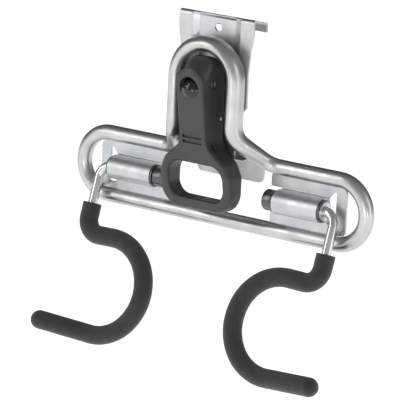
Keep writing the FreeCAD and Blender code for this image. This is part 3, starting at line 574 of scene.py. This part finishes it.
BARREL_DEPTH, BARREL_HEIGHT = 21.0, -17.0
HOOK_SWING = 18.24
SHANK_OFFSET, SHANK_LENGTH = 118.7, 44.9
ELBOW_RADIUS, ELBOW_TURN = 14.0, 91.4
UPPER_RUN = 15.0
CRADLE_RADIUS, CRADLE_TURN = 41.2, 183.6
KICK_RADIUS, KICK_TURN = 40.0, 11.3
LOWER_RUN = 48.0
ROD_RADIUS = 4.0
SLEEVE_START, SLEEVE_RADIUS, SLEEVE_TRIM = 33.5, 8.0, 0.08
BORE_FIT, BORE_DEPTH = 0.12, 1.2
LIP_RADIUS, LIP_TRIM, LIP_STEPS, TIP_STEPS = 0.9, 0.05, 6, 10
# foam creases inside the bends: depth, the bend they start at, and their pace along the hook
CREASE_DEPTH, CREASE_START, CREASE_PACE = 0.020, 0.12, 1.9


def hook_path(shank_start):
    """Centreline of a right-hand hook in its own frame, down from the shank."""
    path = Path((SHANK_OFFSET, 0, -shank_start), -Z_AXIS, 1.6).run(SHANK_LENGTH - shank_start)
    path.turn(ELBOW_RADIUS, ELBOW_TURN, -X_AXIS).run(UPPER_RUN)
    path.turn(CRADLE_RADIUS, CRADLE_TURN, -Z_AXIS).turn(KICK_RADIUS, KICK_TURN, -Y_AXIS)
    return path.run(LOWER_RUN - KICK_RADIUS * math.radians(KICK_TURN))


def curvature(path, index):
    """Bend of the path at a station, as a vector towards the inside of the bend."""
    before, after = max(index - 2, 0), min(index + 2, len(path.spots) - 1)
    span = (path.spots[after] - path.spots[before]).length
    return (path.headings[after] - path.headings[before]) / max(span, 0.1)


def make_sleeve(side):
    """Foam tube: cut square round the bar at the top, closed and round at the tip."""
    path = hook_path(SLEEVE_START)
    along = path.lengths()
    bore = ROD_RADIUS + BORE_FIT
    first, heading = path.spots[0], path.headings[0]
    rings = [ring_at(first + heading * BORE_DEPTH, heading, Y_AXIS, bore, bore),
             ring_at(first, heading, Y_AXIS, bore, bore)]
    for step in range(LIP_STEPS + 1):
        angle = math.radians(90 * step / LIP_STEPS)
        radius = SLEEVE_RADIUS - LIP_TRIM - LIP_RADIUS * (1 - math.sin(angle))
        spot = first + heading * (LIP_RADIUS * (1 - math.cos(angle)))
        rings.append(ring_at(spot, heading, Y_AXIS, radius, radius))
    for index in range(1, len(path.spots)):
        heading, bend = path.headings[index], curvature(path, index)
        lean = (Y_AXIS - heading * Y_AXIS.dot(heading)).normalized()
        across = heading.cross(lean)

        def ripple(angle, s=along[index], bend=bend, lean=lean, across=across):
            inward = (lean * math.cos(angle) + across * math.sin(angle)).dot(bend) * SLEEVE_RADIUS
            folds = CREASE_DEPTH * max(0.0, inward - CREASE_START)
            folds *= math.sin(s * CREASE_PACE + 2.0 * math.cos(angle))
            return 1 + folds + 0.004 * math.sin(s * 0.23 + angle) + 0.003 * math.sin(s * 0.61 - 2 * angle)

        radius = SLEEVE_RADIUS - SLEEVE_TRIM
        rings.append(ring_at(path.spots[index], heading, Y_AXIS, radius, radius, ripple=ripple))
    for step in range(1, TIP_STEPS):
        angle = math.radians(90 * step / TIP_STEPS)
        radius = (SLEEVE_RADIUS - SLEEVE_TRIM) * math.cos(angle)
        spot = path.spots[-1] + path.headings[-1] * (SLEEVE_RADIUS * math.sin(angle))
        rings.append(ring_at(spot, path.headings[-1], Y_AXIS, radius, radius))
    obj = shade(place_on_hinge(loft(f"{side}_foam_sleeve", rings), side), 60)
    finish(obj, f"{side}_hook", "foam", f"{side}_hook_sleeve")


# ---- bent rods -----------------------------------------------------------------------

PIN_START, ROOT_RADIUS = 51.3, 10.5
HEAD_RADIUS, HEAD_THICK = 5.0, 1.0
ROD_TRIM = 5.0


def make_rod(side):
    """Smooth bar from its headed pin to inside the sleeve's tip."""
    path = Path((PIN_START, 0, 0), X_AXIS, 2.0).run(SHANK_OFFSET - ROOT_RADIUS - PIN_START)
    path.turn(ROOT_RADIUS, 90, -Z_AXIS).run(SHANK_LENGTH - ROOT_RADIUS)
    path.turn(ELBOW_RADIUS, ELBOW_TURN, -X_AXIS).run(UPPER_RUN)
    path.turn(CRADLE_RADIUS, CRADLE_TURN, -Z_AXIS).turn(KICK_RADIUS, KICK_TURN, -Y_AXIS)
    path.run(LOWER_RUN - KICK_RADIUS * math.radians(KICK_TURN) - ROD_TRIM)
    rings = []
    for back, radius in ((HEAD_THICK, HEAD_RADIUS - 0.5), (HEAD_THICK - 0.15, HEAD_RADIUS - 0.15),
                         (HEAD_THICK - 0.5, HEAD_RADIUS), (0.15, HEAD_RADIUS), (0.05, HEAD_RADIUS - 0.1)):
        rings.append(ring_at(path.spots[0] - X_AXIS * back, X_AXIS, Y_AXIS, radius, radius, 48))
    for spot, heading in zip(path.spots, path.headings):
        rings.append(ring_at(spot, heading, Y_AXIS, ROD_RADIUS, ROD_RADIUS, 48))
    obj = place_on_hinge(loft(f"{side}_rod", rings), side)
    finish(shade(obj, 50), f"{side}_hook", "zinc_rod", f"{side}_hook_rod")


def place_on_hinge(obj, side):
    """Swing a right-hand hook piece to where it rests, on either side."""
    turn = Matrix.Rotation(math.radians(-HOOK_SWING), 4, "X")
    obj.data.transform(Matrix.Translation(Vector((0, -BARREL_DEPTH, BARREL_HEIGHT)) * MM) @ turn)
    if side == "right":
        return obj
    name = obj.name
    other = mirrored(obj, f"{name}_mirrored")
    bpy.data.objects.remove(obj)
    return other


# ---- ring and arch tubes ---------------------------------------------------------------

ARCH_HALF, ARCH_DEPTH = 28.9, 41.8
ARCH_CENTRE, KNEE_HEIGHT, KNEE_RADIUS = 77.0, 32.4, 20.0
ARCH_DEEP, ARCH_ACROSS = 9.4, 6.7
RING_RADIUS, RING_DEPTH, RING_TOP = 6.4, 13.6, 9.5
RING_STRAIGHT, RING_BEND = 116.5, 26.5
CORNER_X, CORNER_RADIUS = 49.0, 14.0
TUBE_SIDES = 56


def corner_turn(before, after, radius):
    """Degrees turned, and the length an arc uses up on each side of a corner."""
    angle = before.angle(after)
    return math.degrees(angle), radius * math.tan(angle / 2)


def arch_path():
    """Centreline from the ring up the right leg, over the top and down to the ring."""
    knee = Vector((ARCH_HALF, -ARCH_DEPTH, KNEE_HEIGHT))
    corner = Vector((CORNER_X, -RING_DEPTH, RING_TOP))
    slant = (knee - corner).normalized()
    last_turn, last_reach = corner_turn(-X_AXIS, slant, CORNER_RADIUS)
    knee_turn, knee_reach = corner_turn(slant, Z_AXIS, KNEE_RADIUS)
    run = (knee - corner).length - last_reach - knee_reach
    leg = ARCH_CENTRE - KNEE_HEIGHT - knee_reach
    path = Path(corner + X_AXIS * last_reach, -X_AXIS, 1.5)
    path.turn(CORNER_RADIUS, last_turn, slant)
    taper_start = path.lengths()[-1]
    path.run(run).turn(KNEE_RADIUS, knee_turn, Z_AXIS)
    taper_end = path.lengths()[-1]
    path.run(leg).turn(ARCH_HALF, 180, -X_AXIS).run(leg)
    other = Vector((slant.x, -slant.y, -slant.z))
    path.turn(KNEE_RADIUS, knee_turn, other).run(run).turn(CORNER_RADIUS, last_turn, -X_AXIS)
    return path, taper_start, taper_end


def make_ring():
    """Racetrack of round tube, both ends butted to the arch's feet."""
    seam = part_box("arch_tube")[1].x / MM
    path = Path((seam, -RING_DEPTH, RING_TOP), X_AXIS, 2.0).run(RING_STRAIGHT - seam)
    path.turn(RING_BEND, 180, -Z_AXIS).run(2 * RING_STRAIGHT)
    path.turn(RING_BEND, 180, Z_AXIS).run(RING_STRAIGHT - seam)
    radius = RING_RADIUS - 0.01
    rings = [ring_at(spot, heading, Y_AXIS, radius, radius, TUBE_SIDES)
             for spot, heading in zip(path.spots, path.headings)]
    finish(shade(loft("ring", rings), 60), "frame", "zinc_tube", "ring_tube")


def make_arch():
    """Tube over the lever, squeezed to an oval except at its round feet."""
    path, taper_start, taper_end = arch_path()
    along = path.lengths()
    rings = []
    for spot, heading, s in zip(path.spots, path.headings, along):
        nearest = min(s, along[-1] - s)
        share = smooth(taper_start * 0.5, taper_end, nearest)
        deep = RING_RADIUS + (ARCH_DEEP - RING_RADIUS) * share
        across = RING_RADIUS + (ARCH_ACROSS - RING_RADIUS) * share
        rings.append(ring_at(spot, heading, Y_AXIS, deep - 0.02, across - 0.02, TUBE_SIDES))
    finish(shade(loft("arch", rings), 60), "frame", "zinc_tube", "arch_tube")


# ---- sheet-steel bracket ------------------------------------------------------------

PANEL_DEPTH, PANEL_TOP, PANEL_HALF = 31.4, 128.0, 37.0
LIP_DEPTH, LIP_LOW, LIP_HIGH = 13.4, 117.3, 124.2
SHELF_HEIGHT, FOOT_DEPTH, FOOT_LOW = 13.0, 1.0, -10.0
RECESS, RECESS_OUTER, RECESS_INNER, CREASE = 3.0, 24.2, 17.8, 0.7
HOLE_HEIGHT, HOLE_RADIUS = 118.0, 3.5
BEND_RADIUS, BEND_PACE = 2.0, 1.2
# right-hand edge from the top flange down to the foot, and the latch slot: x, z and radius
EDGE_CORNERS = [(37.0, 132, 0), (37.2, 115, 12), (35.0, 103, 30), (33.4, 82, 30), (33.9, 56.5, 3),
                (24.4, 44.5, 3), (24.4, 14.05, 1.2), (33.5, 14.05, 0), (33.5, -10.02, 5)]
SLOT_CORNERS = [(9.0, 30.9, 1.5), (9.0, 22.5, 1.5)]


def folded(points, radius, pace):
    """Path through Y, Z points with every corner bent to one radius."""
    spots = [Vector((0, y, z)) for y, z in points]
    path = Path(spots[0], spots[1] - spots[0], pace)
    used = 0.0
    for before, here, after in zip(spots, spots[1:], spots[2:]):
        arriving, leaving = (here - before).normalized(), (after - here).normalized()
        degrees, reach = corner_turn(arriving, leaving, radius)
        path.run((here - before).length - used - reach).turn(radius, degrees, leaving)
        used = reach
    return path.run((spots[-1] - spots[-2]).length - used)


def across_columns():
    """X positions of the sheet's columns: close together where it is creased."""
    half = [0.0, 8.0, 14.0]
    for fold in (RECESS_INNER, RECESS_OUTER):
        half += [fold - CREASE, fold - CREASE / 3, fold + CREASE / 3, fold + CREASE]
    half += [29.0, 33.0, PANEL_HALF + 1]
    return [-x for x in reversed(half[1:])] + half


def crease(distance):
    """Distance past a crease, eased in over the bend."""
    if abs(distance) < CREASE:
        return (distance + CREASE) ** 2 / (4 * CREASE)
    return max(0.0, distance)


def sink(across):
    """Share of the recess's depth at a distance from the middle."""
    width = RECESS_OUTER - RECESS_INNER
    return 1 - (crease(across - RECESS_INNER) - crease(across - RECESS_OUTER)) / width


def make_bracket():
    """Stamped hanger with a sunk middle, a lipped top flange, a shelf and a foot."""
    profile = [(-LIP_DEPTH, LIP_LOW), (-LIP_DEPTH, LIP_HIGH), (-PANEL_DEPTH, PANEL_TOP),
               (-PANEL_DEPTH, SHELF_HEIGHT), (-FOOT_DEPTH, SHELF_HEIGHT), (-FOOT_DEPTH, FOOT_LOW)]
    path = folded(profile, BEND_RADIUS, BEND_PACE)
    columns = across_columns()
    rings = []
    for spot, heading in zip(path.spots, path.headings):
        normal = X_AXIS.cross(heading)
        upright = smooth(0.5, 1.0, -heading.z)
        sunk = RECESS * upright
        sunk *= smooth(SHELF_HEIGHT + 3, SHELF_HEIGHT + 9, spot.z) if spot.y < -20 else 0
        depths = [sunk * sink(abs(x)) for x in columns]
        front = [spot + X_AXIS * x + normal * (d - SHEET / 2) for x, d in zip(columns, depths)]
        back = [spot + X_AXIS * x + normal * (d + SHEET / 2) for x, d in zip(columns, depths)]
        rings.append(front + back[::-1])
    sheet = loft("bracket", rings)
    outline = prism("outline", rounded_outline(both_sides(EDGE_CORNERS), 6), level(-4), level(40))
    carve(sheet, outline, operation="INTERSECT")
    slot = prism("slot", rounded_outline(both_sides(SLOT_CORNERS)), level(24), level(40))
    hole = bar("hole", (0, -40, HOLE_HEIGHT), (0, -20, HOLE_HEIGHT), HOLE_RADIUS, 48)
    carve(sheet, slot, hole)
    soften(sheet, 0.4, 2, 24)
    finish(sheet, "frame", "zinc_sheet", "rail_bracket")


# ---- hinge plates ----------------------------------------------------------------------

WEB_FRONT, WEB_BACK = 14.6, 12.6
BARREL_START, BARREL_END = 62.0, 106.0
BARREL_MID, BARREL_FILLET = 9.0, 2.2
FLANGE_HALF = 14.0
# corners as x, height above the barrel's axis, and radius
WEB_CORNERS = ((50.5, -20.1, 0.8), (124.0, -20.1, 5), (124.0, 20.1, 5), (50.5, 20.1, 0.8))
NOTCH_CORNERS = ((40.0, -10.4, 0), (62.0, -10.4, 1), (62.0, 10.4, 1), (40.0, 10.4, 0))
WINDOW_CORNERS = ((106.0, 8.0, 0.5), (112.5, 16.0, 1), (114.5, 14.5, 1), (114.5, -14.5, 0.6),
                  (109.0, -14.5, 1), (106.0, -10.5, 0.5))
THROAT_CORNERS = ((62.5, -8.0, 0), (105.5, -8.0, 0), (105.5, 8.0, 0), (62.5, 8.0, 0))
TAB_START, TAB_END, TAB_TOP, TAB_FOOT, TAB_DEPTH = 114.5, 123.0, -15.5, -17.5, 21.6


def section(path):
    """Outline, in Y and Z, of a sheet whose middle follows a path."""
    sides = []
    for sign in (1, -1):
        row = []
        for spot, heading in zip(path.spots, path.headings):
            point = spot + X_AXIS.cross(heading) * (sign * SHEET / 2)
            row.append((point.y, point.z))
        sides.append(row)
    return sides[0] + sides[1][::-1]


def plate_prism(name, corners, low=0, high=40):
    """Solid cut square to the plate, from corners set out from the barrel's axis."""
    placed = [(x, z + BARREL_HEIGHT, radius) for x, z, radius in corners]
    return prism(name, rounded_outline(placed), level(low), level(high))


def make_hinge_plates():
    """Stamped plates with a rolled barrel, a stop tab and relief windows."""
    web = plate_prism("right_hinge", WEB_CORNERS, WEB_BACK, WEB_FRONT)
    carve(web, plate_prism("notch", NOTCH_CORNERS), plate_prism("window", WINDOW_CORNERS),
          plate_prism("throat", THROAT_CORNERS))
    mid = (WEB_FRONT + WEB_BACK) / 2
    path = Path((0, -mid, BARREL_HEIGHT + FLANGE_HALF), -Z_AXIS, 2.0)
    path.run(FLANGE_HALF - BARREL_MID - BARREL_FILLET)
    path.turn(BARREL_FILLET, 90, -Y_AXIS).run(BARREL_DEPTH - mid - BARREL_FILLET)
    path.turn(BARREL_MID, 180, -Z_AXIS).run(BARREL_DEPTH - mid - BARREL_FILLET)
    path.turn(BARREL_FILLET, 90, -Z_AXIS).run(FLANGE_HALF - BARREL_MID - BARREL_FILLET)
    barrel = side_prism("barrel", section(path), BARREL_START, BARREL_END)
    top, foot = BARREL_HEIGHT + TAB_TOP, BARREL_HEIGHT + TAB_FOOT
    tab = side_prism("tab", [(-WEB_BACK, foot), (-WEB_BACK, top), (-TAB_DEPTH, top), (-TAB_DEPTH, foot)],
                     TAB_START, TAB_END)
    carve(web, barrel, tab, operation="UNION")
    left = mirrored(web, "left_hinge")
    for side, plate in (("right", web), ("left", left)):
        soften(plate, 0.35, 2, 40)
        finish(plate, "frame", "zinc_sheet", f"{side}_hinge_plate")


# ---- welds ------------------------------------------------------------------------------

SEAM_RADIUS, SEAM_BEAD = 6.15, 0.5
STITCHES, STITCH_HALF, STITCH_DEPTH, STITCH_BEAD = (54.0, 84.0, 112.0), 4, 12.1, 1.1
STITCH_HEIGHTS = (3.1 + 0.2, -37.1 - 0.2)
ARCH_WELD, ARCH_WELD_DEPTH = ((28.6, 88.0), (25.6, 94.0), (22.0, 98.6)), 32.9

def bead(name, spots, radius, ripple_mm=1.3):
    """Weld bead: a low rippled roll of metal through points in millimetres."""
    path = Path(spots[0], Vector(spots[1]) - Vector(spots[0]), 0.3)
    for before, after in zip(spots, spots[1:]):
        step = Vector(after) - Vector(before)
        path.headings[-1] = step.normalized()
        path.run(step.length)
    along = path.lengths()
    rings = []
    for spot, heading, s in zip(path.spots, path.headings, along):
        end = min(s, along[-1] - s)
        swell = math.sqrt(max(0.02, 1 - (1 - min(1, end / radius)) ** 2))
        size = radius * swell * (0.86 + 0.14 * abs(math.sin(math.pi * s / ripple_mm)))
        lean = Z_AXIS if abs(heading.z) < 0.9 else Y_AXIS
        rings.append(ring_at(spot, heading, lean, size, size, 14))
    return shade(loft(name, rings), 50)


def ring_weld(x):
    """Bead right round the ring tube where an arch foot is butted to it."""
    spots = []
    for degrees in range(0, 346, 15):
        angle = math.radians(degrees)
        depth, height = SEAM_RADIUS * math.cos(angle), SEAM_RADIUS * math.sin(angle)
        spots.append((x, depth - RING_DEPTH, RING_TOP + height))
    return bead("ring_weld", spots, SEAM_BEAD)


def make_welds():
    """Beads at the tube seams, the hinge plates' edges and the arch."""
    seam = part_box("arch_tube")[1].x / MM
    beads = [ring_weld(seam), ring_weld(-seam)]
    for side in (1, -1):
        for x in STITCHES:
            for z in STITCH_HEIGHTS:
                spots = [(side * (x + end * STITCH_HALF), -STITCH_DEPTH, z) for end in (-1, 1)]
                beads.append(bead("plate_weld", spots, STITCH_BEAD))
        beads.append(bead("arch_weld", [(side * x, -ARCH_WELD_DEPTH, z) for x, z in ARCH_WELD], STITCH_BEAD))
    for obj in beads:
        finish(obj, "frame", "zinc_tube")


# ---- small hardware ------------------------------------------------------------------------

WASHER_START, WASHER_END, WASHER_RADIUS = 107.85, 108.6, 7.9

def refined(node, width_mm):
    """Copy of a small piece with its edges broken."""
    source = frame["nodes"][node]
    mesh = source.data.copy()
    mesh.transform(source.matrix_world)
    obj = bpy.data.objects.new(f"fine_{node}", mesh)
    bpy.context.scene.collection.objects.link(obj)
    soften(obj, width_mm, 2, 30)
    return finish(obj, BODY_OF[node], SLOT_OF[node], node)


def make_root_washer(side):
    """Thin washer on the hook's pin, against the outer bush."""
    middle = (-BARREL_DEPTH, BARREL_HEIGHT)
    sign = 1 if side == "right" else -1
    ends = [(sign * x, *middle) for x in (WASHER_START, WASHER_END)]
    obj = bar(f"{side}_root_washer", *ends, WASHER_RADIUS, 64)
    hole = [(sign * x, *middle) for x in (WASHER_START - 8, WASHER_END + 6)]
    carve(obj, bar("washer_hole", *hole, ROD_RADIUS + 0.1, 48))
    finish(soften(obj, 0.25, 2, 30), f"{side}_hook", "zinc_hardware")


# widths of the broken edges, in millimetres
FINE_EDGES = {
    "lever_clevis": 0.3, "clevis_rivets": 0.4, "lever_pivot_pin": 1.1, "latch_cross_pin": 0.9,
    "lever_rear_pin": 0.7, "pivot_washers": 0.1, "latch_tongue": 0.35, "right_inner_bush": 0.4,
    "left_inner_bush": 0.4, "right_outer_bush": 0.4, "left_outer_bush": 0.4, "right_pin_cap": 0.9,
    "left_pin_cap": 0.9, "right_barrel_strap": 0.35, "left_barrel_strap": 0.35,
}

for node_name, cad_node in frame["nodes"].items():
    dress(cad_node, SLOT_OF[node_name])
make_lever()
for hook_side in ("right", "left"):
    make_sleeve(hook_side)
    make_rod(hook_side)
    make_root_washer(hook_side)
make_ring()
make_arch()
make_bracket()
make_hinge_plates()
make_welds()
for node_name, edge_width in FINE_EDGES.items():
    refined(node_name, edge_width)

# ---- studio --------------------------------------------------------------------

CAMERA_AZIMUTH, CAMERA_ELEVATION, CAMERA_ROLL = 35.82, 13.12, 2.94
CAMERA_DISTANCE, CAMERA_LENS_MM = 2.628, 288.2
CAMERA_TARGET = Vector((-0.0121, -0.0256, -0.0283))
TENT_DEPTH = ((0.0, 0.50), (0.45, 0.42), (0.75, 0.20), (0.97, 0.06))
TENT_HEIGHT = ((0.40, 1.0), (0.62, 0.90), (0.80, 0.72), (1.0, 0.62))


def axes_of(azimuth, elevation, roll=0.0):
    """Right, up and back directions of something that looks at the object."""
    a, e, r = (math.radians(v) for v in (azimuth, elevation, roll))
    back = Vector((math.sin(a) * math.cos(e), -math.cos(a) * math.cos(e), math.sin(e)))
    right = Vector((math.cos(a), math.sin(a), 0))
    up = back.cross(right)
    return right * math.cos(r) + up * math.sin(r), up * math.cos(r) - right * math.sin(r), back


def place_at(obj, azimuth, elevation, distance, target, roll=0.0):
    """Set an object at a bearing from the target, facing it."""
    right, up, back = axes_of(azimuth, elevation, roll)
    matrix = Matrix((right, up, back)).transposed().to_4x4()
    matrix.translation = target + back * distance
    obj.matrix_world = matrix
    bpy.context.scene.collection.objects.link(obj)


def make_camera():
    """Long lens at the recorded bearing."""
    data = bpy.data.cameras.new("camera")
    data.lens, data.sensor_width = CAMERA_LENS_MM, 36
    camera = bpy.data.objects.new("camera", data)
    place_at(camera, CAMERA_AZIMUTH, CAMERA_ELEVATION, CAMERA_DISTANCE, CAMERA_TARGET, CAMERA_ROLL)
    bpy.context.scene.camera = camera


def softbox(name, azimuth, elevation, distance, width, height, power):
    """Rectangular light aimed at the origin, hidden from the camera."""
    data = bpy.data.lights.new(name, "AREA")
    data.shape, data.size, data.size_y, data.energy = "RECTANGLE", width, height, power
    light = bpy.data.objects.new(name, data)
    light.visible_camera = False
    place_at(light, azimuth, elevation, distance, Vector())


def make_world():
    """White backdrop, and a soft tent: bright in front, dim overhead and behind the object."""
    world = bpy.data.worlds.new("studio")
    world.use_nodes = True
    tree = world.node_tree
    tent = tree.nodes["Background"]
    place = tree.nodes.new("ShaderNodeTexCoord")

    def falloff(direction, stops):
        """Grey levels along a direction, from facing against it at 0 to along it at 1."""
        along = tree.nodes.new("ShaderNodeVectorMath")
        along.operation = "DOT_PRODUCT"
        along.inputs[1].default_value = direction
        tree.links.new(place.outputs["Generated"], along.inputs[0])
        shift = tree.nodes.new("ShaderNodeMapRange")
        shift.inputs["From Min"].default_value = -1.0
        tree.links.new(along.outputs["Value"], shift.inputs["Value"])
        ramp = tree.nodes.new("ShaderNodeValToRGB")
        ramp.color_ramp.interpolation = "EASE"
        elements = ramp.color_ramp.elements
        while len(elements) < len(stops):
            elements.new(0.5)
        for element, (position, grey) in zip(elements, stops):
            element.position, element.color = position, (grey, grey, grey * 1.015, 1)
        tree.links.new(shift.outputs["Result"], ramp.inputs["Fac"])
        return ramp.outputs["Color"]

    product = tree.nodes.new("ShaderNodeVectorMath")
    product.operation = "MULTIPLY"
    tree.links.new(falloff(-axes_of(CAMERA_AZIMUTH, 0)[2], TENT_DEPTH), product.inputs[0])
    tree.links.new(falloff(Z_AXIS, TENT_HEIGHT), product.inputs[1])
    tree.links.new(product.outputs["Vector"], tent.inputs["Color"])
    white = tree.nodes.new("ShaderNodeBackground")
    white.inputs["Color"].default_value = (1, 1, 1, 1)
    path = tree.nodes.new("ShaderNodeLightPath")
    mix = tree.nodes.new("ShaderNodeMixShader")
    tree.links.new(path.outputs["Is Camera Ray"], mix.inputs["Fac"])
    tree.links.new(tent.outputs["Background"], mix.inputs[1])
    tree.links.new(white.outputs["Background"], mix.inputs[2])
    tree.links.new(mix.outputs["Shader"], tree.nodes["World Output"].inputs["Surface"])
    bpy.context.scene.world = world


FLOOR_DROP, FLOOR_HALF = 0.10, 5.0


def make_floor():
    """Pale floor that fades into the backdrop."""
    mesh = bpy.data.meshes.new("floor")
    height = cad_box[0].z - FLOOR_DROP
    corners = [(x * FLOOR_HALF, y * FLOOR_HALF, height) for x, y in ((-1, -1), (1, -1), (1, 1), (-1, 1))]
    mesh.from_pydata(corners, [], [(0, 1, 2, 3)])
    floor = bpy.data.objects.new("floor", mesh)
    bpy.context.scene.collection.objects.link(floor)
    look = Look("floor", roughness=0.9, emission_strength=0.84)
    look.shader.inputs["Emission Color"].default_value = (1, 1, 1, 1)
    look.colour(look.noise(3), (0.86, 0.86, 0.86), (0.88, 0.88, 0.88))
    mesh.materials.append(look.material)


make_camera()
make_world()
make_floor()
softbox("key", -34, 22, 1.6, 0.4, 1.2, 4.5)
softbox("front", 17, -2, 1.9, 0.7, 0.4, 2.6)
softbox("edge", 56, -4, 1.9, 0.35, 0.4, 1.4)
softbox("spark", -51, 17, 1.7, 0.12, 0.12, 0.9)
softbox("side", 98, 15, 1.5, 0.4, 1.2, 2.5)
bpy.context.scene.view_settings.view_transform = "Standard"
